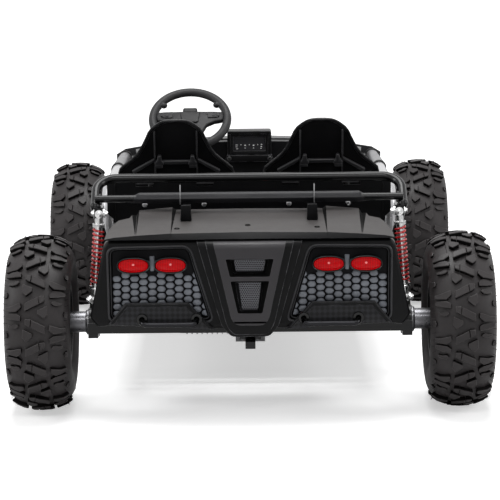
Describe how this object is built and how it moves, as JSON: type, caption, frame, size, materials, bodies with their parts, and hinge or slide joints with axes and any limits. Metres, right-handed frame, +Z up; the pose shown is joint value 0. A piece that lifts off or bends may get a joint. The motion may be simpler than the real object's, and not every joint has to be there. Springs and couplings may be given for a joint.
{
  "type": "two-seat off-road kart",
  "caption": "Low two-seat open kart on knobbly pneumatic tyres, with tube frame, bucket seats, steering wheel, sprung axles, rear deck with lamps and silver side rails",
  "frame": {"origin": "on the floor under the middle of the bounding box, on the centre plane", "axes": "+X to the driver's right, +Y forward, +Z up"},
  "size_m": [0.99, 1.572, 0.5736],
  "materials": {
    "frame": "satin black powder coat",
    "soft_black": "moulded soft grip",
    "bright_steel": "zinc-bright",
    "spring": "gloss red powder coat",
    "cast_alloy": "as cast",
    "body_plastic": "fine-grained satin",
    "tread_plate": "dark satin",
    "seat": "satin",
    "red_lens": "moulded lens",
    "grille_grey": "satin",
    "carbon_look": "woven pattern under lacquer",
    "dark_chrome": "black chrome",
    "satin_grey": "satin",
    "silver_rail": "satin silver",
    "clear_lens": "moulded lens",
    "screen": "gloss",
    "rim": "satin",
    "tread_rubber": "moulded rubber"
  },
  "bodies": {
    "chassis": {"tube_frame": "frame", "crossbar_sleeve": "soft_black", "front_lower_arms": "frame", "front_upper_arms": "frame", "front_dampers": "bright_steel", "front_springs": "spring", "rear_dampers": "bright_steel", "rear_springs": "spring", "swing_arm": "frame", "drive_motor": "cast_alloy", "axle_tubes": "bright_steel", "battery_tray": "frame", "battery_pack": "body_plastic", "floor_pan": "tread_plate", "seat_left": "seat", "seat_right": "seat", "seat_back_panel": "body_plastic", "rear_deck": "body_plastic", "deck_posts": "body_plastic", "rear_fascia": "body_plastic", "tail_lamps": "red_lens", "honeycomb_inserts": "grille_grey", "tail_skirts": "carbon_look", "grab_handles": "dark_chrome", "center_v_panel": "satin_grey", "grille_meshes": "body_plastic", "side_rails": "silver_rail", "rail_sockets": "satin_grey", "cowl": "body_plastic", "nose_panel": "body_plastic", "headlamps": "clear_lens", "front_bumper": "frame", "dash_panel": "body_plastic", "display_screen": "screen", "pedals": "cast_alloy", "tow_hitch": "frame", "rack_housing": "cast_alloy"},
    "steering": {"steering_wheel": "soft_black", "steering_column": "frame"},
    "rack": {"steering_rack": "bright_steel"},
    "link_left": {"tie_rod_left": "bright_steel"},
    "link_right": {"tie_rod_right": "bright_steel"},
    "turn_left": {"knuckle_left": "frame"},
    "turn_right": {"knuckle_right": "frame"},
    "front_wheel_left": {"rim_front_left": "rim", "tyre_front_left": "tread_rubber"},
    "front_wheel_right": {"rim_front_right": "rim", "tyre_front_right": "tread_rubber"},
    "rear_axle": {"axle_shaft": "bright_steel", "rear_rims": "rim", "rear_tyres": "tread_rubber"}
  },
  "joints": [
    {"name": "steer", "type": "hinge", "parent": "chassis", "child": "steering", "pos_m": [-0.137, 0.206, 0.505], "axis": [0, -0.6428, 0.766], "range_deg": [-60, 60]},
    {"name": "rack_slide", "type": "slide", "parent": "chassis", "child": "rack", "axis": [1, 0, 0], "range_m": [-0.0252, 0.0252]},
    {"name": "knuckle_left_turn", "type": "hinge", "parent": "chassis", "child": "turn_left", "pos_m": [-0.334, 0.546, 0.18], "axis": [0, 0, 1], "range_deg": [-24.1, 24.1]},
    {"name": "knuckle_right_turn", "type": "hinge", "parent": "chassis", "child": "turn_right", "pos_m": [0.334, 0.546, 0.18], "axis": [0, 0, 1], "range_deg": [-24.1, 24.1]},
    {"name": "link_left_turn", "type": "hinge", "parent": "turn_left", "child": "link_left", "pos_m": [-0.334, 0.486, 0.18], "axis": [0, 0, 1], "range_deg": [-24.1, 24.1]},
    {"name": "link_right_turn", "type": "hinge", "parent": "turn_right", "child": "link_right", "pos_m": [0.334, 0.486, 0.18], "axis": [0, 0, 1], "range_deg": [-24.1, 24.1]},
    {"name": "front_left_roll", "type": "hinge", "parent": "turn_left", "child": "front_wheel_left", "pos_m": [-0.425, 0.546, 0.18], "axis": [1, 0, 0], "continuous": true},
    {"name": "front_right_roll", "type": "hinge", "parent": "turn_right", "child": "front_wheel_right", "pos_m": [0.425, 0.546, 0.18], "axis": [1, 0, 0], "continuous": true},
    {"name": "rear_axle_roll", "type": "hinge", "parent": "chassis", "child": "rear_axle", "pos_m": [0, -0.594, 0.18], "axis": [1, 0, 0], "continuous": true}
  ],
  "couplings": [
    {"joint": "rack_slide", "follows": "steer", "m_per_rad": 0.024},
    {"joint": "knuckle_left_turn", "follows": "steer", "ratio": 0.4},
    {"joint": "knuckle_right_turn", "follows": "steer", "ratio": 0.4},
    {"joint": "link_left_turn", "follows": "steer", "ratio": -0.4},
    {"joint": "link_right_turn", "follows": "steer", "ratio": -0.4}
  ]
}
